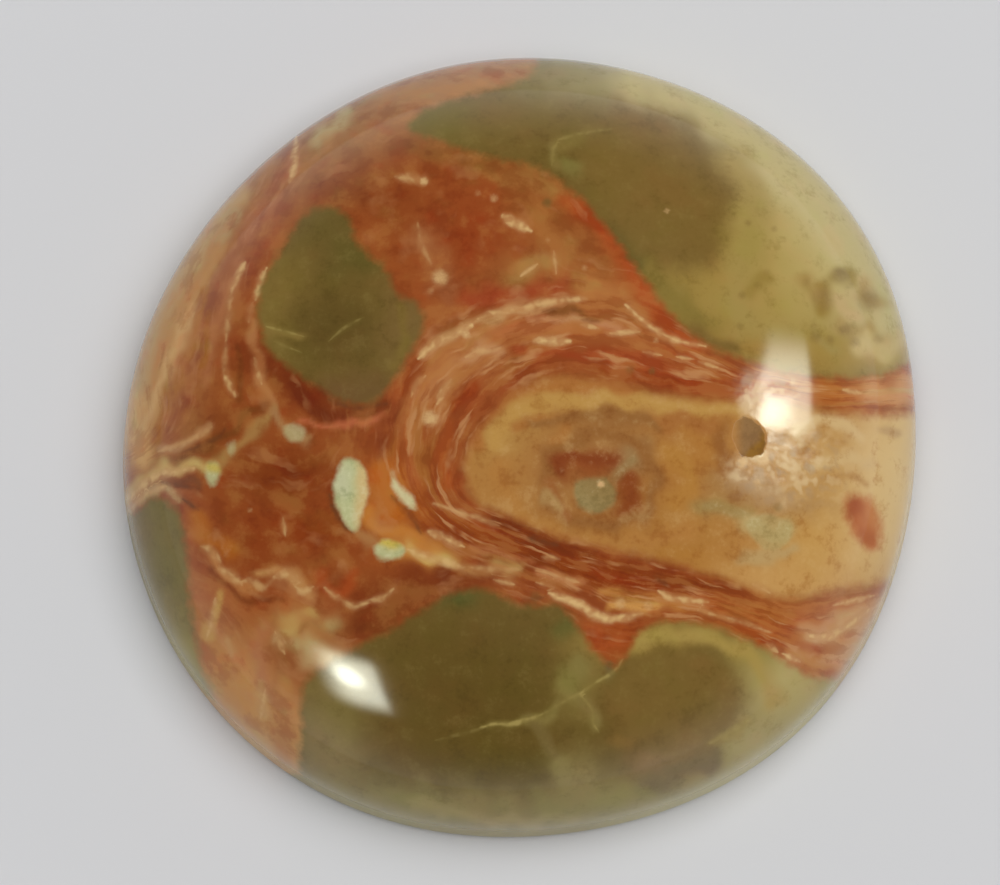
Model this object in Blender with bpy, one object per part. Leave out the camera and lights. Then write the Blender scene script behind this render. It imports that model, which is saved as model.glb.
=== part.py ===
"""A round cabochon of brecciated mookaite jasper: one solid stone, domed in front and flat behind.

Metres, +Z up. The origin is the middle of the flat back, which the stone rests on.
Seen from above, +X points to the right and +Y away from the viewer.
"""

import math

import bmesh
import bpy

# Driving dimensions
MEAN_DIAMETER = 0.0300  # a calibrated 30 mm round, measured across the girdle
HEIGHT = 0.0080  # from the flat back to the top of the dome
BACK_BEVEL = 0.0005  # the 45 degree chamfer that keeps the back edge from chipping
GIRDLE_TOP = 0.0015  # height where the steep wall turns into the dome
WALL_LEAN = math.radians(6.0)  # the wall leans inwards, so that a bezel can grip it

# The dome is an ellipse in section whose shoulders are a little fuller than a true one.
SHOULDER_POWER = 2.45

# The stone was cut by eye: its outline wanders from a circle. Each row is the number of waves
# around the outline, their height as a share of the mean radius, and the angle of a crest.
OVAL = (2, 0.0158, math.radians(38.0))
WANDERS = (
    (3, 0.0047, math.radians(-51.0)),
    (4, 0.0046, math.radians(40.0)),
    (5, 0.0049, math.radians(30.0)),
)

# How finely the solid is faceted
SIDES = 96
WALL_ROWS = 2
DOME_ROWS = 22
BACK_ROWS = 4

STONE_COLOUR = (0.42, 0.16, 0.07, 1.0)
STONE_ROUGHNESS = 0.12


def waves(angle, rows):
    """The sum of the waves in the rows at this angle around the outline."""
    return sum(share * math.cos(count * (angle - crest)) for count, share, crest in rows)


def plan_radius(angle, share):
    """Radius of the ring that lies at this share of the way from the middle to the girdle.

    The small wanders fade out towards the middle, so that the top of the dome stays smooth.
    """
    outline = 1.0 + waves(angle, [OVAL]) + share**2 * waves(angle, WANDERS)
    return 0.5 * MEAN_DIAMETER * share * outline


def dome_height(share):
    """Height of the dome above the back, at this share of the way from its middle to its edge."""
    rise = HEIGHT - GIRDLE_TOP
    return GIRDLE_TOP + rise * math.sqrt(max(0.0, 1.0 - share**SHOULDER_POWER))


def section():
    """The rings of the stone from the middle of the back to the top, as (share, inset, height).

    The share places a ring between the middle and the girdle, and the inset draws it in from there.
    """
    rings = [(row / BACK_ROWS, BACK_BEVEL * row / BACK_ROWS, 0.0) for row in range(1, BACK_ROWS + 1)]
    wall_height = GIRDLE_TOP - BACK_BEVEL
    lean = wall_height * math.tan(WALL_LEAN)
    for row in range(WALL_ROWS + 1):
        up = row / WALL_ROWS
        rings.append((1.0, lean * up, BACK_BEVEL + wall_height * up))
    for row in range(1, DOME_ROWS):
        # Equal turns of the ellipse put the rings close together where the dome is steep.
        turn = 0.5 * math.pi * row / DOME_ROWS
        share = math.cos(turn)
        rings.append((share, lean * share, dome_height(share)))
    return rings


def ring_points(share, inset, height):
    """The corners of one ring."""
    points = []
    for side in range(SIDES):
        angle = 2.0 * math.pi * side / SIDES
        radius = plan_radius(angle, share) - inset
        points.append((radius * math.cos(angle), radius * math.sin(angle), height))
    return points


def outline_middle():
    """Middle of the outline's bounding box, which becomes the origin."""
    girdle = ring_points(1.0, 0.0, 0.0)
    xs = [point[0] for point in girdle]
    ys = [point[1] for point in girdle]
    return 0.5 * (min(xs) + max(xs)), 0.5 * (min(ys) + max(ys))


def stone_mesh():
    """The closed surface of the stone: the back, its bevel, the wall and the dome."""
    middle_x, middle_y = outline_middle()
    shape = bmesh.new()

    def vertex(x, y, z):
        return shape.verts.new((x - middle_x, y - middle_y, z))

    rings = [[vertex(*point) for point in ring_points(*row)] for row in section()]
    back_middle = vertex(0.0, 0.0, 0.0)
    top = vertex(0.0, 0.0, HEIGHT)
    for side in range(SIDES):
        after = (side + 1) % SIDES
        shape.faces.new((back_middle, rings[0][after], rings[0][side]))
        shape.faces.new((top, rings[-1][side], rings[-1][after]))
        for lower, upper in zip(rings, rings[1:]):
            shape.faces.new((lower[side], lower[after], upper[after], upper[side]))
    mesh = bpy.data.meshes.new("stone")
    shape.to_mesh(mesh)
    shape.free()
    mesh.shade_smooth()
    mesh.set_sharp_from_angle(angle=math.radians(30.0))
    return mesh


def polished_jasper():
    """The stone's mean colour and its polish. The pattern is colour alone, so it has no place here."""
    material = bpy.data.materials.new("polished_jasper")
    material.use_nodes = True
    shader = material.node_tree.nodes["Principled BSDF"]
    shader.inputs["Base Color"].default_value = STONE_COLOUR
    shader.inputs["Roughness"].default_value = STONE_ROUGHNESS
    shader.inputs["Metallic"].default_value = 0.0
    return material


def build():
    for old in list(bpy.data.objects):
        bpy.data.objects.remove(old)
    stone = bpy.data.objects.new("stone", stone_mesh())
    stone.data.materials.append(polished_jasper())
    bpy.context.scene.collection.objects.link(stone)


build()
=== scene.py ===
"""Looks of the round mookaite cabochon: its surface, its markings, the floor, the light and the camera.

Metres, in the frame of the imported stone: +Z up, +X right and +Y away from the viewer.
"""

import math

import bpy
import numpy as np
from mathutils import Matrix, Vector


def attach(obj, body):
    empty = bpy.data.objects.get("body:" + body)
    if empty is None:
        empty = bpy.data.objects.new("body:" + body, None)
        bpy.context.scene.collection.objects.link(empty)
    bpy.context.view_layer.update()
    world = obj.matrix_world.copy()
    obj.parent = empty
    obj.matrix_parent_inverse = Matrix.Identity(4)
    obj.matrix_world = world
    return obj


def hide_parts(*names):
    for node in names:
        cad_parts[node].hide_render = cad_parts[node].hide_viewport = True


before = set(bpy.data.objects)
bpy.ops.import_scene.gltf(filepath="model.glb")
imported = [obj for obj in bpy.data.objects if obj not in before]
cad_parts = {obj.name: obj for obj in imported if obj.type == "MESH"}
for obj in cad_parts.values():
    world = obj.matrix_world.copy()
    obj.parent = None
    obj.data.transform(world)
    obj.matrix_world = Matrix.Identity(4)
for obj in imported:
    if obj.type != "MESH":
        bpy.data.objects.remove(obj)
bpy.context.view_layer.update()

# The stone's driving dimensions, the same as those of its solid
MEAN_DIAMETER = 0.0300
HEIGHT = 0.0080
BACK_BEVEL = 0.0005
GIRDLE_TOP = 0.0015
WALL_LEAN = math.radians(6.0)
SHOULDER_POWER = 2.45
OVAL = (2, 0.0158, math.radians(38.0))
WANDERS = (
    (3, 0.0047, math.radians(-51.0)),
    (4, 0.0046, math.radians(40.0)),
    (5, 0.0049, math.radians(30.0)),
)
SOLID_SIDES = 96

# How fine the visible surface is
DOME_SPACING = 0.000114
BACK_SPACING = 0.00035
ARC_POINTS = 400
ROUNDING_POINTS = 6
EDGE_ROUNDING = 0.00012  # radius that polishing leaves on the two edges of the bevel
INSIDE = 0.00001  # the surface stays this far inside the solid's outline
BLEND_HEIGHT = 0.00032  # polishing blends the wall into the lowest part of the dome, up to here

# The photograph's frame, and the camera that took it
PHOTO_WIDTH = 1000
PHOTO_HEIGHT = 885
LENS = 200.0
SENSOR = 36.0
CLIP_START = 0.01
PIXELS_PER_METRE = 26560.0  # across the stone's girdle
CAMERA_TILT = math.radians(11.0)  # from straight down, towards the viewer
STONE_MIDDLE = (523.0, 442.5)  # the pixel where the middle of the outline lies

# The floor and the light
FLOOR_REACH = 1.2
WINDOW_DISTANCE = 0.50
BRIGHT_SIDE = (0.45, 0.9, 0.0)  # the direction in which the room is brightest

# How the markings are drawn, in pixels of the photograph
NEAR = 14.0  # how far a line can be felt
FAR = 99.0  # stands for no marking at all
CURVE_STEPS = 4  # short straight pieces between two points of a smooth curve
SHORTEST = 1e-6
LINE_TIP = 0.45  # how wide a line is at its ends, as a share of its width in the middle
STROKE_REACH = 2.5  # how far a stroke is felt, in half widths
STAIN_SOFTNESS = 2.6
BLOT_SOFTNESS = 3
WAVES = 18  # how many waves make the edges of stains and strokes uneven
WAVE_LENGTHS = (14.0, 48.0)
WAVE_SWING = 0.03  # as a share of the length
WAVE_SEED = 5
FLOW_UNIT = 100.0
FLOW_SLACK = 0.02  # how loosely the fine layers follow their guide lines
LAYERS_PER_LEVEL = 8.5
LAYER_LENGTH = 60.0
DRIFT = (0.32, -0.24)  # how the pattern wanders as it goes down, in shares of the depth
DRIFT_WAVER = 0.10

# The polish, and the depth of what is in it
REFRACTION = 1.54
POLISH = 0.09
SMEARS = 0.05
RIM_WEAR = 0.22
POROUS_WEAR = 0.16
HOLLOW_ROUGHNESS = 0.80
RELIEF_DEPTH = 0.0000045

# The porous patch in the nodule, and the hollow in it: (place, half sizes) and (count, swing, start)
POROUS_PATCHES = [
    ((792, 466), (46, 34)), ((750, 392), (14, 20)), ((752, 472), (24, 20)), ((782, 388), (18, 9)),
]
PORES = 40
PORE_SEED = 11
PORE_SPREAD = 0.55
PORE_SIZES = (4.0, 8.0)
PORE_DEPTH = 0.000006
HOLLOW_MIDDLE = (750.5, 437.0)
HOLLOW_SIZE = (15.0, 19.5)
HOLLOW_DEPTH = 0.00011
HOLLOW_EDGE = 1.04
HOLLOW_WAVES = [
    (1, 0.130, -2.8), (2, -0.100, 1.9), (3, 0.020, 0.4), (5, 0.022, 2.0), (8, 0.020, 0.7), (11, 0.014, 2.6),
]
GOLDEN_FROM = HOLLOW_MIDDLE[0] + 0.8 * HOLLOW_MIDDLE[1] + 12.0  # where the lining turns golden

# Every colour is in thousandths of full red, green and blue
FULL = 1000.0
THREAD_COLOUR = (520, 250, 100)
CORE_COLOUR = (195, 120, 27)
VEIN_COLOUR = (400, 310, 100)
# pale flecks, and the painted glints among them
FLECK_AND_GLINT_COLOUR = (640, 410, 190)
SPOT_COLOUR = (170, 95, 22)
HOLLOW_COLOUR = (270, 142, 48)
LINING_COLOUR = (262, 120, 8)
LINING_SHADE = (840, 800, 740)
# pale blots of the porous patch: partly bleached colour, partly painted glints
BLOOM_AND_GLINT_COLOUR = (720, 550, 320)
ASH_COLOUR = (360, 250, 160)
# painted glow low on the dome, as of light shining through the thin edge
RIM_GLOW_COLOUR = (640, 600, 350)
WARMTH = (1020, 985, 880)
WINDOW_COLOUR = (965, 1000, 830)
FLOOR_COLOUR = (690, 692, 705)

# How each part darkens and pales: (dye of the dark places, colour of the pale ones, its share)
TONES = {
    "matrix": ((830, 700, 600), (520, 230, 60), 0.26),
    "nodule": ((820, 700, 570), (660, 440, 190), 0.25),
    "clast": ((820, 800, 700), VEIN_COLOUR, 0.12),
    "agate": ((780, 800, 740), (740, 740, 500), 0.30),
}
# How its hue changes: (dye where the hue is low, dye where it is high, half the gap between them)
HUES = {
    "matrix": ((970, 1200, 1180), (1040, 840, 760), 0.02),
    "clast": ((1050, 990, 1030), (970, 1010, 920), 0.0),
}
# The drawn lines: (colour, colour of their blurred surroundings, share of those)
LINE_LOOKS = {
    "dark_strands": ((130, 43, 13), (200, 55, 10), 0.50),
    "strands": ((680, 450, 200), (480, 220, 85), 0.55),
    "veins": (VEIN_COLOUR, (240, 185, 45), 0.45),
}
# The blurred edge of each part: (raggedness, where it is whole, where it ends), outside its outline
EDGES = {
    "nodule": (1.0, -10.0, 6.0),
    "red_spot": (1.0, -8.0, 7.0),
    "clast": (1.0, -6.5, 6.0),
    "core": (1.5, -16.0, 15.0),
    "agate": (0.7, -4.0, 3.0),
}
# Cloudy noises: (size of the blots in millimetres or layers, detail, roughness, shift)
NOISES = {
    "crinkle": (0.5, 3.0, 0.55, 0.0),
    "mottle": (0.8, 3.0, 0.5, 5.0),
    "grain": (0.17, 3.0, 0.6, 9.0),
    "waver": (0.48, 2.0, 0.5, 2.2),
    "patches": (0.4, 1.0, 0.5, 6.1),
    "layers": (1.0, 3.0, 0.5, 0.0),
    "threads": (0.95, 2.0, 0.5, 7.3),
    "streaks": (1.0, 2.0, 0.5, 3.7),
    "breaks": (1.1, 2.0, 0.5, 11.0),
    "matrix tone": (1.2, 2.0, 0.5, 3.1),
    "matrix hue": (0.9, 2.0, 0.5, 13.0),
    "clast hue": (1.7, 3.0, 0.5, 31.0),
    "blots": (0.55, 1.5, 0.5, 41.0),
    "lining": (0.45, 3.0, 0.6, 43.0),
    "smears": (2.5, 3.0, 0.5, 17.0),
    "pores": (0.5, 2.0, 0.5, 21.0),
    "lapping": (0.3, 3.0, 0.6, 27.0),
    "scratches": (0.5, 3.0, 0.5, 0.0),
}

# The markings, drawn as outlines and lines in pixels of the photograph: x to the right, y down.
# Those that meet the rim go on beyond it, so that they also reach the wall and the back.
LEFT_LENS = [
    (320, 207), (345, 214), (359, 245), (384, 267), (397, 294), (416, 303), (424, 326), (402, 366),
    (378, 399), (352, 405), (318, 387), (275, 357), (258, 322), (262, 285), (282, 248), (302, 216),
]
TOP_CLAST = [
    (408, 130), (445, 143), (490, 158), (530, 165), (560, 182), (592, 210), (618, 243), (645, 280),
    (672, 315), (704, 343), (750, 362), (811, 377), (881, 376), (913, 362), (1000, 345), (990, 220),
    (880, 80), (690, 0), (560, 30), (530, 74), (500, 86), (455, 99), (420, 112),
]
RIM_CLAST = [
    (150, 497), (168, 501), (182, 522), (188, 560), (191, 605), (200, 660), (212, 700), (190, 750),
    (120, 720), (70, 610), (98, 520), (134, 512),
]
LOWER_CLASTS = [
    (297, 785), (301, 720), (304, 684), (335, 660), (366, 642), (394, 628), (430, 605), (460, 591),
    (490, 590), (522, 605), (560, 604), (582, 634), (604, 662), (620, 664), (640, 633), (668, 621),
    (712, 626), (760, 646), (804, 674), (838, 681), (905, 700), (860, 880), (600, 960), (350, 940),
    (285, 840),
]
CLASTS = [LEFT_LENS, TOP_CLAST, RIM_CLAST, LOWER_CLASTS]

TOP_CORE = [
    (583, 150), (610, 120), (660, 112), (700, 148), (736, 190), (724, 225), (718, 262), (690, 270),
    (655, 262), (620, 230), (592, 200),
]
LOWER_CORE = [
    (604, 700), (626, 664), (660, 648), (702, 650), (731, 668), (743, 698), (735, 730), (700, 748),
    (640, 745),
]
CORES = [TOP_CORE, LOWER_CORE]

NODULE = [
    (463, 470), (473, 436), (492, 415), (514, 391), (552, 376), (600, 380), (650, 391), (720, 399),
    (775, 400), (850, 413), (905, 413), (1010, 405), (1020, 560), (905, 580), (835, 591), (790, 601),
    (740, 586), (680, 567), (620, 553), (560, 538), (500, 515), (474, 502),
]
RED_SPOT = [(845, 499), (858, 494), (874, 504), (882, 526), (878, 548), (867, 549), (856, 536), (845, 516)]

EYE = [(574, 484), (584, 478), (602, 477), (613, 482), (617, 496), (609, 508), (593, 513), (577, 504)]
EYE_TAIL = [(606, 484), (613, 473), (622, 462), (632, 455), (637, 460), (630, 470), (620, 479), (614, 488)]
PALE_STRIP = [(704, 503), (722, 503), (752, 513), (752, 519), (722, 514), (704, 509)]
PALE_PATCH = [(746, 520), (768, 514), (790, 524), (789, 542), (770, 551), (754, 540)]
BIG_AGATE = [(346, 457), (334, 483), (337, 508), (350, 528), (358, 528), (367, 500), (366, 470)]
SLIM_AGATE = [(391, 470), (400, 486), (414, 498), (416, 510), (403, 502), (392, 487)]
LOWER_AGATE = [(374, 547), (386, 538), (404, 546), (403, 556), (390, 560), (378, 558)]
LEFT_AGATE = [(207, 464), (216, 462), (221, 474), (213, 486), (205, 478)]
SMALL_AGATE = [(228, 444), (234, 441), (237, 449), (231, 455), (227, 450)]
FAINT_AGATE = [(283, 427), (294, 424), (306, 430), (302, 440), (289, 441)]
# How solid each looks, with its outline
AGATES = [
    (0.75, EYE), (0.3, EYE_TAIL), (0.45, PALE_STRIP), (0.6, PALE_PATCH), (1, BIG_AGATE), (1, SLIM_AGATE),
    (1, LOWER_AGATE), (0.9, LEFT_AGATE), (0.5, SMALL_AGATE), (0.5, FAINT_AGATE),
]

# Lines that the fine layers of the red matrix run along. The number grows outwards from the nodule.
FLOW = [
    (0, NODULE[:9] + [(850, 410), (905, 410)]),
    (0, [(454, 482), (468, 503)] + NODULE[20:14:-1] + [(835, 593), (900, 580)]),
    (1, [(915, 377), (860, 379), (811, 378), (760, 369), (725, 352), (695, 338), (665, 322),
         (635, 308), (600, 299), (565, 298), (530, 306), (495, 315), (465, 327), (440, 341),
         (420, 357), (405, 378), (397, 405), (392, 435), (391, 462), (398, 487), (412, 508),
         (428, 528), (450, 545), (480, 560), (515, 572), (550, 588), (580, 604), (605, 619),
         (640, 622), (700, 626), (760, 648), (800, 675)]),
    (1.2, [(190, 540), (225, 575), (265, 577), (305, 590), (340, 600), (376, 597), (430, 580)]),
    (1.5, [(126, 500), (155, 476), (197, 473)]),
    (1.9, [(124, 469), (150, 455), (200, 440), (240, 410)]),
    (2, [(300, 150), (275, 190), (255, 225), (240, 262), (231, 290), (227, 340), (226, 380),
         (250, 404), (305, 425)]),
    (2.6, [(262, 165), (225, 215), (205, 255), (190, 300), (165, 385), (146, 450)]),
    (3.2, [(240, 165), (190, 225), (160, 280), (140, 330), (122, 450)]),
    (1.5, [(420, 240), (520, 200), (600, 270)]),
    (1.7, [(330, 700), (250, 640), (215, 600)]),
    (2.3, [(205, 700), (290, 790)]),
]

# Pale strands in the matrix: (brightness, half width, points)
STRANDS = [
    (1, 4.3, [(536, 341), (568, 341)]),
    (0.9, 4.3, [(420, 357), (432, 347), (447, 338), (470, 326)]),
    (0.7, 3.5, [(480, 318), (500, 311), (530, 306), (565, 300), (585, 299)]),
    (0.5, 4.3, [(468, 356), (480, 350), (498, 348)]),
    (0.5, 2.7, [(412, 395), (416, 385), (424, 377)]),
    (0.8, 3.2, [(438, 402), (444, 391), (450, 381)]),
    (0.9, 2.8, [(627, 306), (641, 319), (655, 330), (675, 340), (704, 346)]),
    (0.8, 2.4, [(612, 333), (638, 332)]),
    (0.6, 2.2, [(583, 325), (597, 328)]),
    (0.5, 2, [(645, 352), (660, 355)]),
    (0.6, 2, [(678, 357), (692, 359)]),
    (0.6, 2, [(700, 362), (716, 367)]),
    (0.5, 2.7, [(435, 504), (465, 514), (497, 525)]),
    (0.9, 3.5, [(430, 532), (442, 537), (462, 546)]),
    (0.8, 4.1, [(410, 550), (425, 556), (445, 562), (462, 567)]),
    (0.4, 2.7, [(470, 567), (500, 570), (520, 569)]),
    (0.6, 3, [(544, 557), (558, 559)]),
    (0.4, 2.7, [(538, 571), (558, 576), (577, 582)]),
    (0.5, 2.7, [(496, 580), (512, 584)]),
    (0.5, 2.7, [(538, 583), (552, 587)]),
    (1, 4.3, [(551, 594), (565, 599), (582, 606), (595, 615), (612, 619), (640, 614)]),
    (0.8, 3, [(660, 592), (672, 598), (706, 602)]),
    (0.5, 2.4, [(700, 611), (740, 622), (770, 632)]),
    (1, 3, [(785, 655), (798, 661)]),
    (0.8, 3, [(812, 636), (828, 637), (850, 625), (868, 611)]),
    (0.6, 2.7, [(835, 605), (872, 596)]),
    (0.6, 2.7, [(768, 645), (776, 651)]),
    (0.5, 2.7, [(755, 585), (768, 592)]),
    (0.6, 2.4, [(845, 390), (860, 393)]),
    (0.8, 3.2, [(244, 264), (236, 278), (232, 292)]),
    (0.4, 2.8, [(231, 294), (229, 312), (226, 340)]),
    (0.3, 2.8, [(226, 343), (225, 362), (226, 378)]),
    (0.8, 3, [(225, 376), (229, 386), (234, 395)]),
    (0.9, 3.2, [(266, 270), (260, 284), (256, 298)]),
    (0.5, 2.8, [(252, 304), (249, 320)]),
    (0.5, 2.4, [(255, 360), (261, 382)]),
    (0.8, 3.2, [(296, 138), (294, 165), (290, 180)]),
    (0.8, 4.1, [(127, 499), (140, 488), (160, 475), (192, 469)]),
    (0.6, 2.7, [(138, 501), (150, 493), (164, 487)]),
    (0.36, 3, [(160, 451), (175, 446), (192, 439), (210, 428)]),
    (0.6, 3.4, [(203, 547), (212, 551), (219, 560)]),
    (0.6, 4.4, [(221, 569), (231, 574), (240, 583)]),
    (0.5, 3.4, [(244, 581), (252, 581), (264, 588), (272, 580)]),
    (0.65, 4.4, [(276, 577), (288, 574), (298, 582)]),
    (0.6, 3.8, [(297, 588), (303, 592), (311, 588)]),
    (0.5, 3, [(326, 589), (334, 596), (342, 600)]),
    (0.65, 3, [(344, 602), (354, 606), (366, 603)]),
    (0.5, 2.8, [(370, 600), (382, 598), (392, 590)]),
    (0.5, 2.6, [(276, 634), (284, 652)]),
    (0.5, 2.6, [(215, 600), (212, 620), (207, 637)]),
    (0.5, 2.6, [(265, 690), (261, 716)]),
    (0.5, 2.3, [(283, 520), (285, 534)]),
    (0.6, 4.2, [(398, 177), (412, 179), (424, 182)]),
    (1, 4.9, [(505, 217), (516, 223), (529, 230)]),
    (0.6, 2.4, [(522, 275), (536, 265)]),
    (0.4, 2, [(554, 253), (556, 272)]),
    (0.3, 2.7, [(418, 225), (422, 245), (430, 262)]),
    (0.4, 2.4, [(200, 185), (185, 212), (172, 240)]),
    (0.3, 3, [(330, 330), (350, 337), (366, 339)]),
]
# Dark lines in the matrix
DARK_STRANDS = [
    (0.5, 2.2, [(183, 452), (214, 440), (224, 430)]),
    (0.6, 2.4, [(163, 482), (180, 486), (197, 488)]),
    (0.7, 2.2, [(184, 500), (197, 509)]),
    (0.75, 2.8, [(330, 496), (335, 510), (342, 523), (350, 531)]),
    (0.5, 2.8, [(393, 497), (405, 508), (414, 520), (420, 532)]),
    (0.7, 3, [(530, 538), (556, 545)]),
    (0.4, 3.4, [(545, 311), (560, 310), (580, 311)]),
    (0.5, 3, [(583, 320), (600, 321)]),
    (0.5, 2.6, [(655, 577), (668, 586)]),
    (0.6, 3, [(330, 400), (355, 408), (385, 404)]),
    (0.4, 2.6, [(525, 600), (545, 597)]),
]
# Small round flecks: (brightness, radius, place). The negative ones are dark. Three bright ones below the
# hollow are painted glints.
FLECKS_AND_GLINTS = [
    (0.9, 4, (424, 181)), (0.6, 4.5, (494, 198)),
    (0.8, 8, (440, 277)), (0.5, 3.5, (431, 291)), (0.4, 4, (585, 268)), (0.9, 4.5, (466, 334)),
    (0.9, 8, (430, 418)), (0.4, 4, (478, 193)), (0.4, 3, (548, 240)), (0.6, 3, (454, 563)),
    (0.5, 3, (250, 510)), (0.5, 3, (284, 642)), (1.1, 3.4, (601, 484)), (0.7, 2.8, (667, 211)),
    (0.6, 6, (620, 604)), (0.5, 6, (648, 606)), (0.6, 3, (656, 340)), (0.4, 3, (562, 470)),
    (0.4, 3.5, (563, 495)), (0.5, 3.5, (553, 503)), (0.4, 3, (600, 425)),
    (-0.6, 5, (630, 370)), (-0.7, 4, (652, 371)), (-0.9, 5, (547, 203)), (-0.8, 3, (604, 673)),
    (-0.9, 3.5, (610, 664)), (-0.5, 4, (748, 223)), (-0.5, 3.5, (774, 229)), (-0.4, 4, (767, 272)),
    (-0.4, 4, (757, 285)), (-0.5, 4.5, (742, 295)), (-0.5, 4, (740, 326)), (-0.55, 9, (840, 275)),
    (-0.5, 12, (823, 300)), (-0.5, 12, (868, 300)), (-0.5, 6, (830, 340)), (-0.5, 6, (855, 342)),
    (-0.4, 6, (878, 339)), (-0.15, 7, (890, 430)), (-0.6, 5, (778, 507)), (-0.5, 6, (535, 596)),
    # the first three below are painted glints on the porous patch under the hollow
    (1.2, 7, (763, 458)), (1.1, 6, (742, 463)), (0.9, 7, (759, 478)), (-0.35, 5, (806, 282)),
    (-0.6, 7, (845, 330)), (-0.5, 6, (815, 338)),
]
# Yellow-green veins through the clasts. The last is a pale line along the lower rim.
VEINS = [
    (0.22, 1.8, [(437, 740), (462, 734), (485, 727)]),
    (0.9, 2.2, [(480, 728), (494, 724), (512, 724), (530, 719), (546, 713)]),
    (0.32, 3, [(543, 714), (560, 704), (580, 693)]),
    (0.8, 2, [(580, 694), (592, 685), (600, 680), (614, 671), (622, 660)]),
    (0.5, 1.8, [(583, 698), (592, 710), (593, 722), (598, 731)]),
    (0.3, 2.6, [(557, 143), (553, 152), (552, 163)]),
    (0.3, 2.2, [(560, 139), (584, 133), (610, 129)]),
    (0.5, 1.6, [(268, 327), (284, 331), (302, 336)]),
    (0.4, 1.5, [(276, 342), (300, 352)]),
    (0.35, 1.5, [(330, 340), (345, 327), (362, 318)]),
    (0.4, 4.5, [(712, 742), (730, 733), (746, 722)]),
    (0.26, 2, [(424, 804), (446, 809), (470, 815), (498, 819), (530, 820), (560, 819)]),
]

# Soft stains of other colour: (place, half sizes, slant in degrees, colour)
MATRIX_COLOUR = (315, 78, 15)
MATRIX_STAINS = [
    ((340, 130), (130, 45), -30, (330, 140, 36)),  # orange brown at the upper left
    ((480, 82), (95, 22), -8, (400, 200, 85)),  # salmon edge at the top
    ((500, 165), (70, 14), 12, (300, 110, 22)),
    ((400, 200), (30, 35), 0, (270, 60, 10)),
    ((480, 235), (45, 45), 0, (290, 55, 9)),
    ((560, 240), (55, 25), 40, (340, 110, 24)),
    ((530, 275), (40, 22), 0, (340, 120, 27)),
    ((635, 290), (45, 20), 50, (340, 75, 12)),
    ((600, 290), (30, 16), 20, (400, 140, 33)),
    ((600, 330), (120, 22), 8, (400, 130, 32)),
    ((660, 370), (80, 14), 10, (340, 75, 14)),
    ((470, 350), (50, 26), -35, (420, 150, 42)),
    ((430, 395), (20, 40), 25, (440, 160, 45)),
    ((425, 475), (28, 52), 0, (320, 78, 13)),
    ((470, 530), (60, 14), 20, (340, 75, 10)),
    ((560, 562), (120, 16), 14, (250, 46, 3)),
    ((655, 584), (62, 15), 8, (250, 36, 2)),
    ((700, 606), (60, 9), 4, (480, 180, 45)),
    ((790, 635), (60, 22), 10, (420, 130, 25)),
    ((840, 655), (30, 20), 0, (480, 180, 35)),
    ((872, 612), (40, 26), 0, (520, 260, 90)),
    ((870, 393), (60, 14), 0, (460, 150, 25)),
    ((610, 640), (30, 22), 0, (340, 70, 10)),
    ((390, 500), (26, 45), 0, (470, 135, 16)),  # orange between the white chalcedony lenses
    ((420, 552), (30, 12), 15, (600, 260, 50)),
    ((308, 387), (64, 21), 32, (190, 33, 4)),  # dark rim under the left lens
    ((285, 475), (50, 30), 0, (220, 42, 4)),
    ((300, 540), (75, 30), 0, (260, 44, 4)),
    ((392, 592), (48, 19), -8, (205, 34, 4)),
    ((430, 588), (60, 19), -10, (205, 38, 4)),
    ((250, 600), (60, 20), 0, (370, 100, 22)),
    ((330, 566), (44, 16), 10, (310, 80, 15)),
    ((200, 435), (56, 24), -25, (250, 60, 10)),
    ((165, 400), (60, 30), -70, (420, 190, 42)),
    ((154, 330), (170, 31), -62, (480, 245, 70)),  # tan band along the left rim
    ((203, 325), (95, 19), -70, (280, 68, 8)),
    ((250, 200), (40, 16), -50, (330, 115, 20)),
    ((240, 700), (80, 42), 58, (550, 250, 60)),  # tan field at the lower left
    ((285, 750), (50, 28), 70, (580, 310, 90)),
    ((300, 632), (34, 24), -10, (420, 180, 60)),
    ((290, 624), (10, 8), -20, (520, 330, 110)),  # a mottled cream patch
    ((309, 615), (9, 5), 10, (500, 300, 95)),
    ((333, 624), (7, 8), 0, (500, 330, 130)),
    ((280, 642), (6, 9), -10, (520, 330, 150)),
    ((299, 641), (12, 8), 0, (480, 280, 120)),
    ((326, 655), (20, 10), 20, (560, 420, 190)),
    ((310, 658), (13, 12), 30, (500, 330, 150)),
    ((304, 628), (7, 3), 0, (320, 130, 40)),
    ((372, 622), (40, 15), -22, (200, 45, 6)),
    ((284, 684), (12, 26), 8, (360, 125, 36)),
    ((342, 190), (32, 20), 0, (250, 66, 14)),
]
CLAST_COLOUR = (165, 105, 22)
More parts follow.
